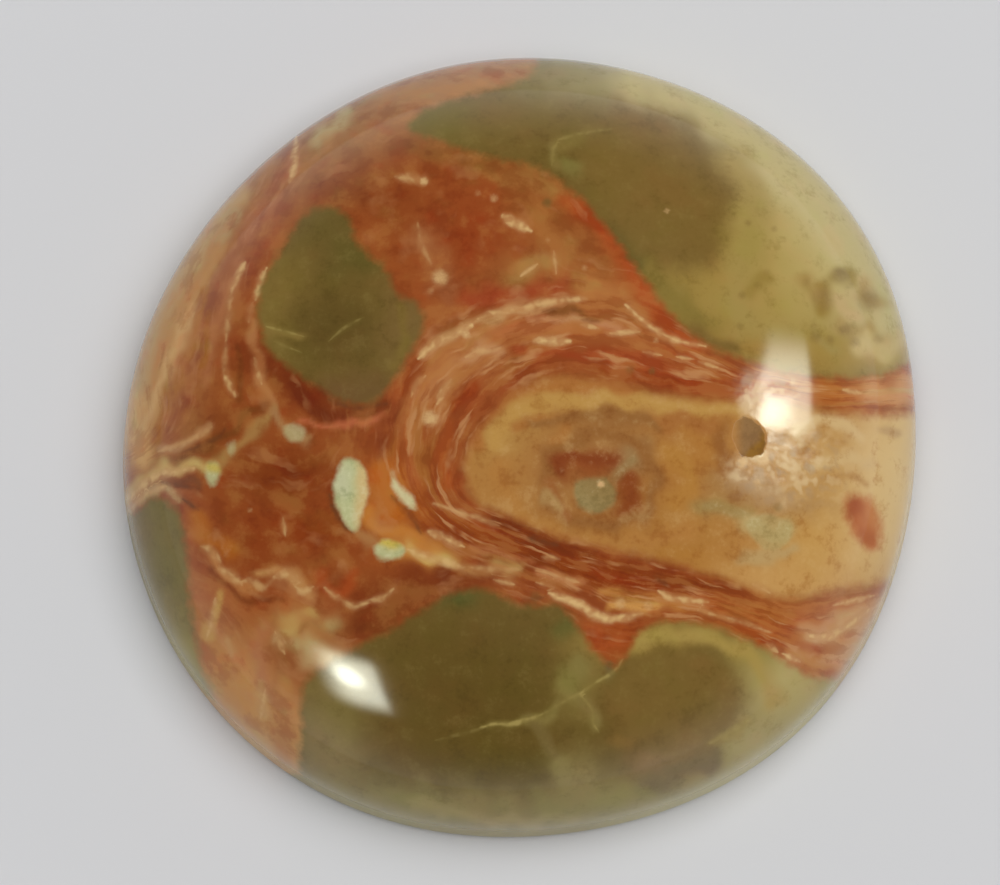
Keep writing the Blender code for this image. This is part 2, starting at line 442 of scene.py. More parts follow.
CLAST_STAINS = [
    ((278, 300), (26, 60), 10, (215, 140, 33)),
    ((338, 235), (40, 32), 0, (145, 100, 22)),
    ((355, 258), (25, 18), 0, (125, 92, 17)),
    ((335, 328), (42, 34), 0, (120, 76, 14)),
    ((408, 325), (24, 42), 0, (190, 115, 32)),
    ((356, 392), (42, 16), 0, (160, 88, 26)),
    ((440, 120), (45, 22), 0, (165, 120, 14)),
    ((520, 115), (60, 24), 0, (185, 122, 26)),
    ((600, 80), (80, 22), 6, (300, 250, 110)),
    ((700, 300), (40, 50), 0, (270, 180, 37)),
    ((760, 300), (80, 60), 30, (360, 245, 60)),
    ((785, 232), (46, 80), -20, (380, 265, 68)),
    ((845, 240), (70, 110), -20, (480, 380, 140)),
    # the next three cream stains along the upper right rim are partly the stone's paler edge and partly
    # painted reflection of the bright room
    ((790, 140), (130, 38), 42, (520, 440, 200)),
    ((690, 88), (70, 22), 18, (460, 400, 220)),
    ((900, 300), (26, 60), 0, (540, 440, 200)),
    ((850, 350), (70, 20), 0, (360, 240, 60)),
    ((760, 350), (60, 12), 14, (340, 210, 45)),
    ((166, 560), (24, 66), -8, (180, 138, 29)),
    ((188, 670), (24, 50), -20, (310, 250, 55)),
    ((470, 690), (110, 80), 0, (128, 80, 13)),
    ((480, 770), (110, 22), 0, (118, 76, 6)),
    ((330, 745), (30, 70), 0, (235, 170, 50)),
    ((420, 808), (150, 22), 6, (260, 210, 60)),
    ((455, 598), (20, 9), 0, (105, 100, 20)),
    ((568, 628), (14, 10), 0, (125, 110, 22)),
    ((582, 680), (24, 36), 20, (215, 155, 38)),
    ((575, 778), (22, 26), 0, (250, 190, 55)),
    ((650, 638), (60, 14), -6, (360, 240, 58)),
    ((790, 690), (50, 44), 30, (440, 350, 120)),
    ((740, 760), (80, 30), -35, (400, 330, 130)),
    ((640, 800), (110, 24), -10, (290, 235, 75)),
    ((672, 765), (36, 16), -10, (250, 155, 55)),
]
NODULE_COLOUR = (430, 195, 44)
NODULE_STAINS = [
    ((480, 475), (34, 46), 0, (430, 200, 48)),
    ((510, 425), (36, 24), -30, (460, 255, 66)),
    ((620, 404), (140, 12), 3, (480, 250, 65)),
    ((540, 385), (50, 10), -4, (430, 190, 40)),
    ((600, 470), (66, 60), 0, (360, 165, 46)),  # brown halo of the eye
    ((610, 421), (56, 7), 3, (320, 140, 36)),
    ((670, 425), (26, 8), 10, (380, 150, 36)),
    ((645, 508), (30, 18), -20, (290, 95, 18)),
    ((575, 520), (30, 10), 15, (330, 130, 28)),
    ((552, 478), (10, 30), 0, (340, 150, 40)),
    ((590, 465), (34, 13), 0, (290, 74, 13)),
    ((628, 495), (14, 13), 0, (260, 70, 10)),
    ((700, 470), (40, 50), 0, (420, 180, 34)),
    ((690, 520), (42, 26), 0, (420, 195, 41)),
    ((640, 545), (66, 12), 12, (360, 155, 32)),
    ((700, 560), (60, 14), 12, (420, 185, 33)),
    ((790, 580), (64, 26), 0, (570, 320, 110)),
    ((830, 480), (70, 70), 0, (510, 290, 95)),
    ((840, 545), (50, 40), 0, (560, 320, 95)),
    ((908, 480), (50, 110), 0, (670, 480, 220)),
    ((770, 505), (54, 14), 0, (440, 250, 90)),
    ((734, 486), (30, 18), 0, (370, 190, 60)),
    ((632, 456), (18, 13), -35, (330, 185, 70)),
]
RED_SPOT_COLOUR = (460, 122, 18)
RED_SPOT_STAINS = [
    ((852, 508), (11, 14), -20, (340, 70, 6)),
    ((866, 540), (8, 12), 10, (400, 100, 12)),
    ((872, 515), (7, 16), -15, (500, 180, 45)),
]
AGATE_COLOUR = (500, 500, 270)
AGATE_STAINS = [
    ((350, 486), (12, 26), 0, (500, 540, 290)),
    ((608, 480), (60, 50), 0, (270, 205, 75)),
    ((725, 510), (30, 16), 0, (330, 210, 70)),
    ((770, 532), (40, 30), 0, (450, 350, 150)),
    ((365, 495), (9, 40), 0, (660, 460, 200)),
    ((404, 490), (30, 30), 45, (620, 550, 320)),
    ((386, 541), (22, 5), 0, (600, 460, 90)),
    ((213, 465), (12, 6), 0, (600, 480, 120)),
    ((340, 480), (10, 16), 0, (550, 560, 360)),
]

# Broad soft strokes over the stains: (half width, colour, points)
MATRIX_STROKES = [
    (5, (400, 175, 58), [(357, 531), (364, 540), (372, 547)]),
    # along the left rim, from the outside in
    (9, (500, 310, 120), [(240, 195), (200, 245), (168, 305), (148, 350), (136, 400)]),
    (12, (490, 250, 75), [(225, 255), (198, 295), (178, 335), (162, 385), (148, 435)]),
    (9, (310, 85, 13), [(262, 215), (235, 255), (212, 300), (200, 345), (188, 390), (165, 440)]),
    (5, (380, 130, 40), [(240, 262), (224, 300), (214, 345), (206, 385)]),
    (9, (370, 120, 36), [(292, 160), (272, 195), (248, 230)]),
    (7, (440, 320, 140), [(318, 138), (345, 116)]),
    (4, (220, 55, 8), [(237, 345), (240, 372), (239, 398)]),
    (4, (420, 170, 60), [(252, 325), (257, 355), (262, 385), (272, 404)]),
    (11, (620, 350, 120), [(132, 400), (134, 428), (140, 456)]),
    (4, (580, 340, 130), [(190, 306), (184, 324), (169, 364), (161, 384), (152, 404), (137, 442)]),
    (5, (350, 115, 6), [(205, 292), (197, 322), (191, 344), (184, 362), (168, 404), (157, 446)]),
    (4, (330, 100, 6), [(211, 314), (207, 344), (203, 364)]),
    (5, (440, 280, 110), [(236, 212), (228, 226), (221, 240)]),
    # the paler tongue that runs in from the left tip, with a dark line along its upper side
    (5, (380, 190, 58), [(272, 409), (262, 422), (252, 434), (240, 446), (226, 456), (206, 463),
                         (188, 465)]),
    (4, (200, 56, 8), [(178, 460), (200, 450), (214, 442), (228, 432), (244, 420), (262, 404)]),
    (3.5, (400, 190, 78), [(160, 454), (183, 444), (198, 437), (210, 427)]),
    (5, (560, 390, 140), [(124, 500), (140, 482), (162, 469), (188, 466), (208, 470)]),
    (4, (220, 65, 18), [(150, 486), (168, 479), (186, 481), (200, 489)]),
    (4, (500, 330, 160), [(128, 512), (146, 494), (164, 490), (180, 496)]),
    # around the left lens
    (6, (190, 36, 6), [(296, 398), (328, 415), (358, 418), (388, 408)]),
    (3, (450, 120, 45), [(300, 422), (328, 425), (360, 422), (388, 419)]),
    (4, (380, 190, 75), [(272, 410), (281, 423), (292, 434), (306, 440)]),
    (5, (270, 60, 12), [(392, 405), (384, 432), (380, 455)]),
    # the red field on the left and the crinkled line under it
    (9, (420, 120, 12), [(196, 520), (210, 540), (228, 552)]),
    (4, (500, 210, 65), [(212, 556), (222, 572), (236, 583), (256, 590)]),
    (5, (500, 240, 80), [(258, 574), (285, 571), (298, 582), (308, 595)]),
    (6, (360, 65, 10), [(322, 575), (333, 592), (346, 588), (352, 574)]),
    (3, (240, 55, 8), [(210, 566), (222, 585), (250, 598), (285, 600)]),
    (4, (540, 310, 80), [(219, 598), (213, 615), (208, 638)]),
    (4, (500, 250, 80), [(228, 640), (234, 655)]),
    (8, (440, 165, 60), [(262, 630), (258, 655), (262, 685)]),
    # the lower left
    (6, (550, 320, 110), [(262, 690), (262, 716)]),
    (10, (470, 200, 50), [(283, 690), (284, 730), (283, 770)]),
    # the red field over the nodule
    (8, (270, 95, 18), [(410, 143), (445, 153), (485, 164), (525, 174)]),
    (9, (340, 140, 33), [(500, 176), (530, 184), (556, 192)]),
    (9, (380, 70, 11), [(565, 205), (590, 216), (610, 238)]),
    (9, (390, 75, 12), [(612, 246), (632, 272), (650, 300), (672, 326), (694, 346)]),
    (14, (320, 105, 22), [(520, 195), (560, 228), (598, 262)]),
    (9, (430, 160, 42), [(588, 288), (615, 298), (640, 316)]),
    (12, (330, 100, 30), [(424, 235), (436, 262), (446, 292)]),
    (9, (380, 190, 50), [(515, 283), (530, 268), (545, 262)]),
    (10, (340, 60, 14), [(470, 300), (520, 295), (560, 285)]),
    # the layers over the nodule
    (4, (520, 270, 110), [(425, 350), (450, 334), (480, 320), (510, 312), (545, 308)]),
    (4, (270, 95, 20), [(540, 310), (565, 310), (582, 311)]),
    (4, (500, 220, 95), [(530, 318), (560, 318), (590, 322), (620, 330)]),
    (5, (440, 150, 45), [(490, 330), (530, 328), (570, 329)]),
    (5, (500, 240, 105), [(466, 362), (478, 350), (500, 348)]),
    (6, (370, 75, 16), [(520, 354), (570, 352), (620, 356), (660, 364)]),
    (5, (300, 55, 7), [(600, 374), (640, 376), (690, 384), (730, 388)]),
    (5, (360, 80, 14), [(700, 370), (740, 380), (780, 388)]),
    (6, (450, 180, 60), [(428, 395), (440, 378), (456, 362)]),
    (5, (330, 75, 12), [(404, 390), (412, 372), (424, 360)]),
    (5, (300, 60, 8), [(455, 410), (462, 398), (475, 385)]),
    (6, (380, 90, 14), [(448, 425), (442, 455), (446, 485)]),
    (5, (400, 115, 26), [(412, 430), (410, 460), (414, 485)]),
    # the layers under it
    (7, (210, 36, 3), [(500, 522), (530, 535), (560, 546), (590, 556)]),
    (7, (240, 40, 4), [(630, 566), (665, 578), (700, 590)]),
    (4, (400, 140, 45), [(470, 548), (500, 555), (530, 562)]),
    (5, (420, 190, 60), [(465, 568), (495, 570), (520, 568)]),
    (4, (450, 160, 55), [(540, 572), (560, 576), (580, 584)]),
    (5, (460, 170, 35), [(600, 592), (640, 596), (680, 606)]),
    (5, (600, 300, 80), [(615, 606), (635, 604), (655, 608)]),
    (6, (400, 85, 15), [(590, 628), (604, 645), (618, 640)]),
    (6, (400, 100, 20), [(700, 600), (740, 612), (780, 626), (820, 622)]),
    (5, (500, 230, 100), [(800, 628), (830, 622), (858, 602)]),
    (5, (420, 120, 35), [(800, 612), (840, 604), (870, 592)]),
    (6, (470, 190, 45), [(790, 650), (815, 662), (836, 668)]),
    (7, (420, 140, 35), [(760, 594), (800, 608), (840, 602), (884, 588)]),
    (8, (580, 340, 160), [(812, 640), (840, 631), (864, 612)]),
    (12, (580, 280, 110), [(876, 394), (908, 392)]),
    (10, (560, 300, 140), [(836, 662), (858, 640), (876, 612)]),
    (5, (360, 80, 12), [(760, 640), (785, 645), (820, 650)]),
    # orange between the white lenses
    (8, (460, 120, 9), [(382, 470), (388, 495), (396, 515)]),
    (6, (520, 190, 30), [(370, 512), (376, 527), (398, 532), (420, 540)]),
    (5, (620, 420, 130), [(410, 548), (428, 556), (452, 563)]),
]
CLAST_STROKES = [
    # a cream band along the upper right rim: partly the stone's paler edge, partly painted reflection of
    # the bright room
    (22, (510, 430, 200), [(640, 78), (700, 98), (762, 146), (820, 200), (862, 255), (888, 310)]),
    (16, (360, 260, 75), [(735, 165), (750, 200), (748, 240), (740, 285), (745, 320)]),
    (12, (240, 170, 35), [(650, 268), (675, 300), (700, 328)]),
    (9, (200, 120, 26), [(690, 334), (712, 342), (735, 348)]),
    (8, (310, 205, 40), [(822, 286), (823, 308)]),
    (6, (330, 235, 55), [(832, 276), (848, 278)]),
    (9, (400, 285, 95), [(862, 290), (875, 304)]),
    (6, (310, 215, 50), [(748, 290), (758, 284), (768, 278)]),
    (6, (360, 250, 70), [(806, 276), (808, 288), (816, 296)]),
    (5, (360, 255, 80), [(812, 330), (820, 342), (836, 350)]),
    (6, (400, 280, 90), [(838, 326), (856, 332), (872, 326)]),
    (5, (480, 360, 150), [(842, 300), (846, 314), (858, 318)]),
    (5, (500, 370, 140), [(866, 334), (872, 346), (884, 352)]),
    (9, (520, 400, 170), [(862, 345), (885, 350), (900, 338)]),
    (9, (130, 95, 20), [(612, 232), (636, 262)]),
    (7, (205, 140, 33), [(562, 144), (590, 135), (632, 128)]),
    (6, (205, 165, 42), [(562, 163), (572, 167), (581, 171)]),
    (4, (215, 150, 40), [(556, 146), (553, 156), (553, 166)]),
    (5, (230, 170, 50), [(580, 696), (591, 708), (595, 724)]),
    (6, (220, 165, 45), [(528, 722), (545, 718), (556, 708)]),
    (6, (330, 260, 90), [(415, 803), (470, 817), (520, 822), (575, 819)]),
    (5, (180, 125, 35), [(534, 722), (546, 744), (558, 762)]),
    (8, (250, 195, 60), [(562, 768), (572, 784), (588, 788)]),
    (9, (400, 280, 75), [(640, 640), (690, 636), (735, 646), (764, 672), (772, 700)]),
    (9, (215, 125, 26), [(620, 740), (660, 725), (720, 712)]),
    (6, (400, 300, 100), [(716, 742), (730, 732), (744, 723)]),
    (12, (190, 135, 50), [(650, 782), (680, 770), (712, 757)]),
    (4, (160, 110, 40), [(612, 664), (606, 674)]),
    (10, (235, 185, 52), [(578, 665), (568, 690)]),
    (5, (200, 130, 28), [(400, 310), (405, 345), (392, 366)]),
    (4, (240, 155, 40), [(268, 330), (300, 336)]),
]
NODULE_STROKES = [
    (8, (300, 115, 24), [(722, 432), (719, 452), (727, 470)]),
    (8, (360, 225, 70), [(700, 506), (722, 508), (744, 512)]),
    (8, (500, 360, 150), [(750, 524), (772, 534), (786, 528)]),
    (7, (420, 165, 36), [(474, 440), (484, 416), (506, 400), (540, 388), (590, 386), (640, 390)]),
    (7, (500, 280, 72), [(497, 445), (506, 420), (532, 406), (585, 400), (640, 402), (700, 408),
                         (736, 408)]),
    (6, (400, 165, 36), [(516, 428), (540, 416), (562, 426), (556, 440)]),
    (5, (300, 130, 32), [(530, 424), (562, 421), (580, 415), (612, 413), (640, 418), (656, 427)]),
    (6, (300, 125, 30), [(545, 482), (550, 458), (574, 440), (605, 434), (636, 444), (652, 464),
                         (656, 486), (646, 510), (620, 523), (590, 525), (565, 516), (548, 500)]),
    (9, (440, 200, 46), [(500, 470), (505, 495), (530, 522), (576, 541), (636, 544), (690, 530)]),
    (8, (240, 52, 9), [(558, 464), (576, 457), (600, 462), (612, 458)]),
    (7, (250, 58, 9), [(629, 480), (632, 495), (626, 508)]),
    (6, (330, 120, 30), [(549, 482), (556, 500), (567, 514)]),
    (5, (420, 250, 90), [(548, 500), (558, 507)]),
    (7, (380, 150, 34), [(668, 418), (690, 424), (712, 426)]),
    (9, (440, 205, 40), [(672, 450), (690, 480), (676, 505)]),
    (8, (460, 280, 130), [(738, 478), (762, 492), (790, 500)]),
    (5, (620, 430, 210), [(796, 432), (820, 420), (845, 424), (862, 440)]),
    (4, (460, 250, 80), [(800, 446), (822, 436), (842, 442)]),
    (5, (600, 410, 190), [(806, 472), (838, 458), (872, 462)]),
    (4, (480, 270, 90), [(812, 490), (840, 476), (866, 482)]),
    (5, (500, 320, 140), [(882, 428), (896, 434)]),
    (5, (500, 330, 140), [(742, 556), (770, 558), (795, 548)]),
    (6, (420, 185, 36), [(640, 560), (680, 570), (730, 588)]),
]

# The drawn lines, and the colours of each part, by the names that the material knows them by
LINES = {"strands": STRANDS, "dark_strands": DARK_STRANDS, "veins": VEINS}
GROUNDS = {
    "matrix": (MATRIX_COLOUR, MATRIX_STAINS, MATRIX_STROKES),
    "clast": (CLAST_COLOUR, CLAST_STAINS, CLAST_STROKES),
    "nodule": (NODULE_COLOUR, NODULE_STAINS, NODULE_STROKES),
    "agate": (AGATE_COLOUR, AGATE_STAINS, []),
    "red_spot": (RED_SPOT_COLOUR, RED_SPOT_STAINS, []),
}


# The form of the stone


def waves(angle, rows):
    """The sum of the waves in the rows at these angles around the outline."""
    return sum(share * np.cos(count * (angle - crest)) for count, share, crest in rows)


def plan_radius(angle, share):
    """Radius of the ring at this share of the way from the middle to the girdle."""
    outline = 1.0 + waves(angle, [OVAL]) + share**2 * waves(angle, WANDERS)
    return 0.5 * MEAN_DIAMETER * share * outline


def dome_height(share):
    """Height of the dome above the back, at this share of the way from its middle to its edge."""
    rise = HEIGHT - GIRDLE_TOP
    return GIRDLE_TOP + rise * np.sqrt(np.maximum(0.0, 1.0 - share**SHOULDER_POWER))


def outline_middle():
    """Middle of the bounding box of the solid's outline, which is the origin."""
    angle = 2.0 * math.pi * np.arange(SOLID_SIDES) / SOLID_SIDES
    radius = plan_radius(angle, 1.0)
    xs = radius * np.cos(angle)
    ys = radius * np.sin(angle)
    return np.array([0.5 * (xs.min() + xs.max()), 0.5 * (ys.min() + ys.max())])


def evenly(points, spacing):
    """The open line through these points, with new points at even steps of about the spacing."""
    steps = np.linalg.norm(np.diff(points, axis=0), axis=1)
    along = np.concatenate([[0.0], np.cumsum(steps)])
    count = max(2, int(round(along[-1] / spacing)) + 1)
    at = np.linspace(0.0, along[-1], count)
    return np.stack([np.interp(at, along, column) for column in points.T], axis=1)


def rounded_corner(before, corner, after, radius):
    """A few points that round this corner of the section."""
    into = (before - corner) / np.linalg.norm(before - corner)
    out = (after - corner) / np.linalg.norm(after - corner)
    turn = math.acos(np.clip(into @ out, -1.0, 1.0))
    reach = radius / math.tan(0.5 * turn)
    share = np.linspace(0.0, 1.0, ROUNDING_POINTS)[:, None]
    # A quadratic curve between the two points where the rounding starts
    start = corner + into * reach
    end = corner + out * reach
    return (1 - share) ** 2 * start + 2 * share * (1 - share) * corner + share**2 * end


def section():
    """The rings of the surface from the middle of the back to the top of the dome.

    A ring is (share, inset, height, spacing): the share places it between the middle and the
    girdle, the inset draws it in from there, and the spacing is that of its points.
    """
    lean = (GIRDLE_TOP - BACK_BEVEL) * math.tan(WALL_LEAN)
    radius = 0.5 * MEAN_DIAMETER
    back_edge = np.array([radius - BACK_BEVEL, 0.0])
    bevel_top = np.array([radius, BACK_BEVEL])
    shares = np.cos(np.linspace(0.0, 0.5 * math.pi, ARC_POINTS))
    arc = np.stack([(radius - lean) * shares, dome_height(shares)], axis=1)
    arc = arc[arc[:, 1] > GIRDLE_TOP + BLEND_HEIGHT]
    wall_top = arc[0]
    lower = rounded_corner(np.zeros(2), back_edge, bevel_top, EDGE_ROUNDING)
    upper = rounded_corner(back_edge, bevel_top, wall_top, EDGE_ROUNDING)
    back = evenly(np.stack([np.zeros(2), lower[0]]), BACK_SPACING)
    bevel = evenly(np.stack([lower[-1], upper[0]]), DOME_SPACING)
    wall = evenly(np.stack([upper[-1], wall_top]), DOME_SPACING)
    rings = []
    for x, z in back[:-1]:
        rings.append((x / radius, 0.0, z, BACK_SPACING))
    for x, z in np.concatenate([lower, bevel[1:-1], upper, wall[1:-1]]):
        rings.append((1.0, radius - x, z, DOME_SPACING))
    for x, z in evenly(arc, DOME_SPACING):
        share = x / (radius - lean)
        rings.append((share, lean * share, z, DOME_SPACING))
    return rings


def ring_points(ring, middle):
    """The points of one ring, which is a single point in the middle of the back or of the dome."""
    share, inset, height, spacing = ring
    length = 2.0 * math.pi * (0.5 * MEAN_DIAMETER * share - inset)
    count = max(1, int(round(length / spacing)))
    angle = 2.0 * math.pi * np.arange(count) / count
    radius = plan_radius(angle, share) - inset - INSIDE * share
    xs = radius * np.cos(angle) - middle[0]
    ys = radius * np.sin(angle) - middle[1]
    return np.stack([xs, ys, np.full(count, height)], axis=1)


def strip(inner_count, outer_count):
    """Triangles between two rings, as indices into the inner ring and, after them, the outer one."""
    outer = np.arange(outer_count)
    nearest = np.floor((outer + 0.5) * inner_count / outer_count + 0.5).astype(int)
    before = np.concatenate([[nearest[-1] - inner_count], nearest[:-1]])
    fans = [nearest % inner_count, inner_count + outer, inner_count + (outer + 1) % outer_count]
    step = (nearest > before) & (inner_count > 1)
    ties = [before[step] % inner_count, inner_count + outer[step], nearest[step] % inner_count]
    return np.concatenate([np.stack(fans, axis=1), np.stack(ties, axis=1)])


def stone_surface():
    """Points and triangles of the closed surface, facing out.

    With each point go its depth below the dome, and a number that is one on the back and nought
    elsewhere.
    """
    middle = outline_middle()
    profile = section()
    rings = [ring_points(ring, middle) for ring in profile]
    counts = [len(ring) for ring in rings]
    starts = np.cumsum([0] + counts)
    faces = []
    for index, (below, above) in enumerate(zip(counts, counts[1:])):
        if above >= below:
            part = strip(below, above)[:, ::-1]
            shift = np.where(part < below, starts[index], starts[index + 1] - below)
        else:
            part = strip(above, below)
            shift = np.where(part < above, starts[index + 1], starts[index] - above)
        faces.append(part + shift)
    shares, heights = np.array(profile)[:, [0, 2]].T
    depths = np.repeat(dome_height(np.minimum(shares, 1.0)) - heights, counts)
    back = np.repeat((heights < 0.5 * BACK_BEVEL).astype(float), counts)
    return np.concatenate(rings), np.concatenate(faces), depths, back


# The camera, and where it sees each point


def camera_axes():
    """Where the camera stands, and its right, up and backward directions."""
    back = np.array([0.0, -math.sin(CAMERA_TILT), math.cos(CAMERA_TILT)])
    up = np.array([0.0, math.cos(CAMERA_TILT), math.sin(CAMERA_TILT)])
    right = np.array([1.0, 0.0, 0.0])
    aside = (STONE_MIDDLE[0] - 0.5 * PHOTO_WIDTH) / PIXELS_PER_METRE
    below = (STONE_MIDDLE[1] - 0.5 * PHOTO_HEIGHT) / PIXELS_PER_METRE
    middle = outline_middle()
    target = np.array([-middle[0], -middle[1], GIRDLE_TOP]) - aside * right + below * up
    distance = PHOTO_WIDTH * LENS / SENSOR / PIXELS_PER_METRE
    return target + distance * back, right, up, back


def photo_pixels(points):
    """The pixel of the photograph where each point is seen."""
    place, right, up, back = camera_axes()
    ray = points - place
    depth = -(ray @ back)
    focal = PHOTO_WIDTH * LENS / SENSOR
    across = 0.5 * PHOTO_WIDTH + focal * (ray @ right) / depth
    down = 0.5 * PHOTO_HEIGHT - focal * (ray @ up) / depth
    return np.stack([across, down], axis=1)


def link(piece):
    """The piece, put into the scene."""
    bpy.context.scene.collection.objects.link(piece)
    return piece


def make_camera():
    """The camera, looking down at the stone as in the photograph."""
    data = bpy.data.cameras.new("camera")
    data.lens = LENS
    data.sensor_width = SENSOR
    data.clip_start = CLIP_START
    camera = link(bpy.data.objects.new("camera", data))
    camera.location = Vector(camera_axes()[0])
    camera.rotation_euler = (CAMERA_TILT, 0.0, 0.0)
    bpy.context.scene.camera = camera
    bpy.context.scene.view_settings.view_transform = "Standard"


# Where the drawn markings lie


def smooth_line(points, closed=False):
    """A smooth curve through the points, as many short straight pieces."""
    points = np.array(points, float)
    if closed:
        path = np.concatenate([points[-1:], points, points[:2]])
    else:
        path = np.concatenate([2 * points[:1] - points[1:2], points, 2 * points[-1:] - points[-2:-1]])
    share = np.linspace(0.0, 1.0, CURVE_STEPS, endpoint=False)[:, None]
    curve = []
    for before, start, end, after in zip(path, path[1:], path[2:], path[3:]):
        bend = 2 * before - 5 * start + 4 * end - after
        twist = 3 * (start - end) + after - before
        curve.append(start + 0.5 * share * (end - before + share * (bend + share * twist)))
    return np.concatenate(curve + [path[-2:-1]])


def measure(places, curve):
    """For each place: its distance to the curve, its offset across it and how far along it lies."""
    best = np.full(len(places), np.inf)
    offset = np.zeros(len(places))
    along = np.zeros(len(places))
    pieces = len(curve) - 1
    for index, (start, end) in enumerate(zip(curve, curve[1:])):
        span = end - start
        length = max(np.hypot(*span), SHORTEST)
        away = places - start
        reach = np.clip(away @ span / length**2, 0.0, 1.0)
        gap = np.hypot(away[:, 0] - reach * span[0], away[:, 1] - reach * span[1])
        closer = gap < best
        best[closer] = gap[closer]
        offset[closer] = (away[closer] @ np.array([-span[1], span[0]])) / length
        along[closer] = (index + reach[closer]) / pieces
    return best, offset, along


def near_curve(places, curve, reach):
    """The places within reach of the curve, with what is measured there."""
    low = curve.min(axis=0) - reach
    high = curve.max(axis=0) + reach
    rows = np.flatnonzero(np.all((places > low) & (places < high), axis=1))
    return rows, *measure(places[rows], curve)


def inside(places, curve):
    """Whether each place lies inside the closed curve."""
    crossed = np.zeros(len(places), bool)
    for start, end in zip(curve, np.roll(curve, -1, axis=0)):
        if start[1] == end[1]:
            continue
        level = (start[1] > places[:, 1]) != (end[1] > places[:, 1])
        at = start[0] + (places[:, 1] - start[1]) * (end[0] - start[0]) / (end[1] - start[1])
        crossed ^= level & (places[:, 0] < at)
    return crossed


def depth_outside(places, outlines):
    """Distance in pixels to the nearest of the closed outlines, negative inside it."""
    nearest = np.full(len(places), FAR)
    for outline in outlines:
        curve = smooth_line(outline, closed=True)
        distance = measure(places, curve)[0]
        distance[inside(places, curve)] *= -1.0
        nearest = np.minimum(nearest, distance)
    return nearest


def agates_near(places):
    """Distance in pixels outside the nearest chalcedony lens, and how solid that one looks."""
    nearest = np.full(len(places), FAR)
    solid = np.zeros(len(places))
    for opacity, outline in AGATES:
        distance = depth_outside(places, [outline])
        nearer = distance < nearest
        nearest[nearer] = distance[nearer]
        solid[nearer] = opacity
    return nearest, solid


def lines_near(places, lines):
    """For each place: the nearest line's offset in half widths, the gap to its edge and its strength."""
    field = np.tile([FAR, FAR, 0.0], (len(places), 1))
    for strength, half_width, points in lines:
        close, distance, offset, along = near_curve(places, smooth_line(points), NEAR)
        # The line tapers towards its ends
        width = half_width * (LINE_TIP + (1.0 - LINE_TIP) * np.sin(math.pi * along) ** 0.5)
        gap = distance - width
        nearer = gap < field[close, 1]
        rows = close[nearer]
        field[rows, 0] = (offset / width)[nearer]
        field[rows, 1] = gap[nearer]
        field[rows, 2] = strength
    return field


def away_from(middle, places, size=1.0):
    """How far each place lies across and down from the middle, in shares of the size."""
    return ((places - np.array(middle)) / np.array(size)).T


def soft(distance, power):
    """Falls softly from one at no distance, through one half at a distance of one, to nought."""
    return np.exp(-0.7 * distance**power)


def flecks_and_glints_near(places):
    """How strongly each place is paled, or darkened where negative, by the flecks and by the painted glints
    among them.
    """
    field = np.zeros(len(places))
    for strength, radius, middle in FLECKS_AND_GLINTS:
        field += strength * soft(np.hypot(*away_from(middle, places, radius)), BLOT_SOFTNESS)
    return field


def stained(places, colour, stains, strokes):
    """The ground colour with its soft stains, and the broad strokes over them, at each place."""
    result = np.tile(np.array(colour) / FULL, (len(places), 1))
    for middle, half_size, slant, tint in stains:
        turn = math.radians(slant)
        across, down = away_from(middle, places)
        first = (across * math.cos(turn) + down * math.sin(turn)) / half_size[0]
        second = (down * math.cos(turn) - across * math.sin(turn)) / half_size[1]
        share = soft(np.hypot(first, second), STAIN_SOFTNESS)[:, None]
        result = result * (1.0 - share) + np.array(tint) / FULL * share
    for half_width, tint, points in strokes:
        rows, distance = near_curve(places, smooth_line(points), STROKE_REACH * half_width)[:2]
        share = soft(distance / half_width, STAIN_SOFTNESS)[:, None]
        result[rows] = result[rows] * (1.0 - share) + np.array(tint) / FULL * share
    return result


def flow(places):
    """A smooth field that is constant along the guide lines, as the fine layers of the matrix are."""
    guides = np.concatenate([np.array(points, float) for level, points in FLOW]) / FLOW_UNIT
    levels = np.concatenate([np.full(len(points), level) for level, points in FLOW])

    def bend(first, second):
        apart = np.sum((first[:, None, :] - second[None, :, :]) ** 2, axis=2)
        return apart * np.log(apart + 1e-9)

    count = len(guides)
    plane = np.concatenate([np.ones((count, 1)), guides], axis=1)
    system = np.zeros((count + 3, count + 3))
    system[:count, :count] = bend(guides, guides) + FLOW_SLACK * np.eye(count)
    system[:count, count:] = plane
    system[count:, :count] = plane.T
    weights = np.linalg.solve(system, np.concatenate([levels, np.zeros(3)]))
    spots = places / FLOW_UNIT
    return bend(spots, guides) @ weights[:count] + weights[count] + spots @ weights[count + 1 :]


# What the surface carries for its material


def hollow_share(places):
    """How deep each place lies in the hollow: one in its middle, nought at its edge, less outside."""
    across, down = away_from(HOLLOW_MIDDLE, places, HOLLOW_SIZE)
    angle = np.arctan2(down, across)
    edge = HOLLOW_EDGE + sum(swing * np.cos(count * angle + start) for count, swing, start in HOLLOW_WAVES)
    return np.clip(1.0 - (np.hypot(across, down) / edge) ** 2, -1.0, 1.0)


def porous_share(places):
    """How porous the polish is at each place."""
    away = [np.hypot(*away_from(middle, places, size)) for middle, size in POROUS_PATCHES]
    return soft(np.min(away, axis=0), BLOT_SOFTNESS)


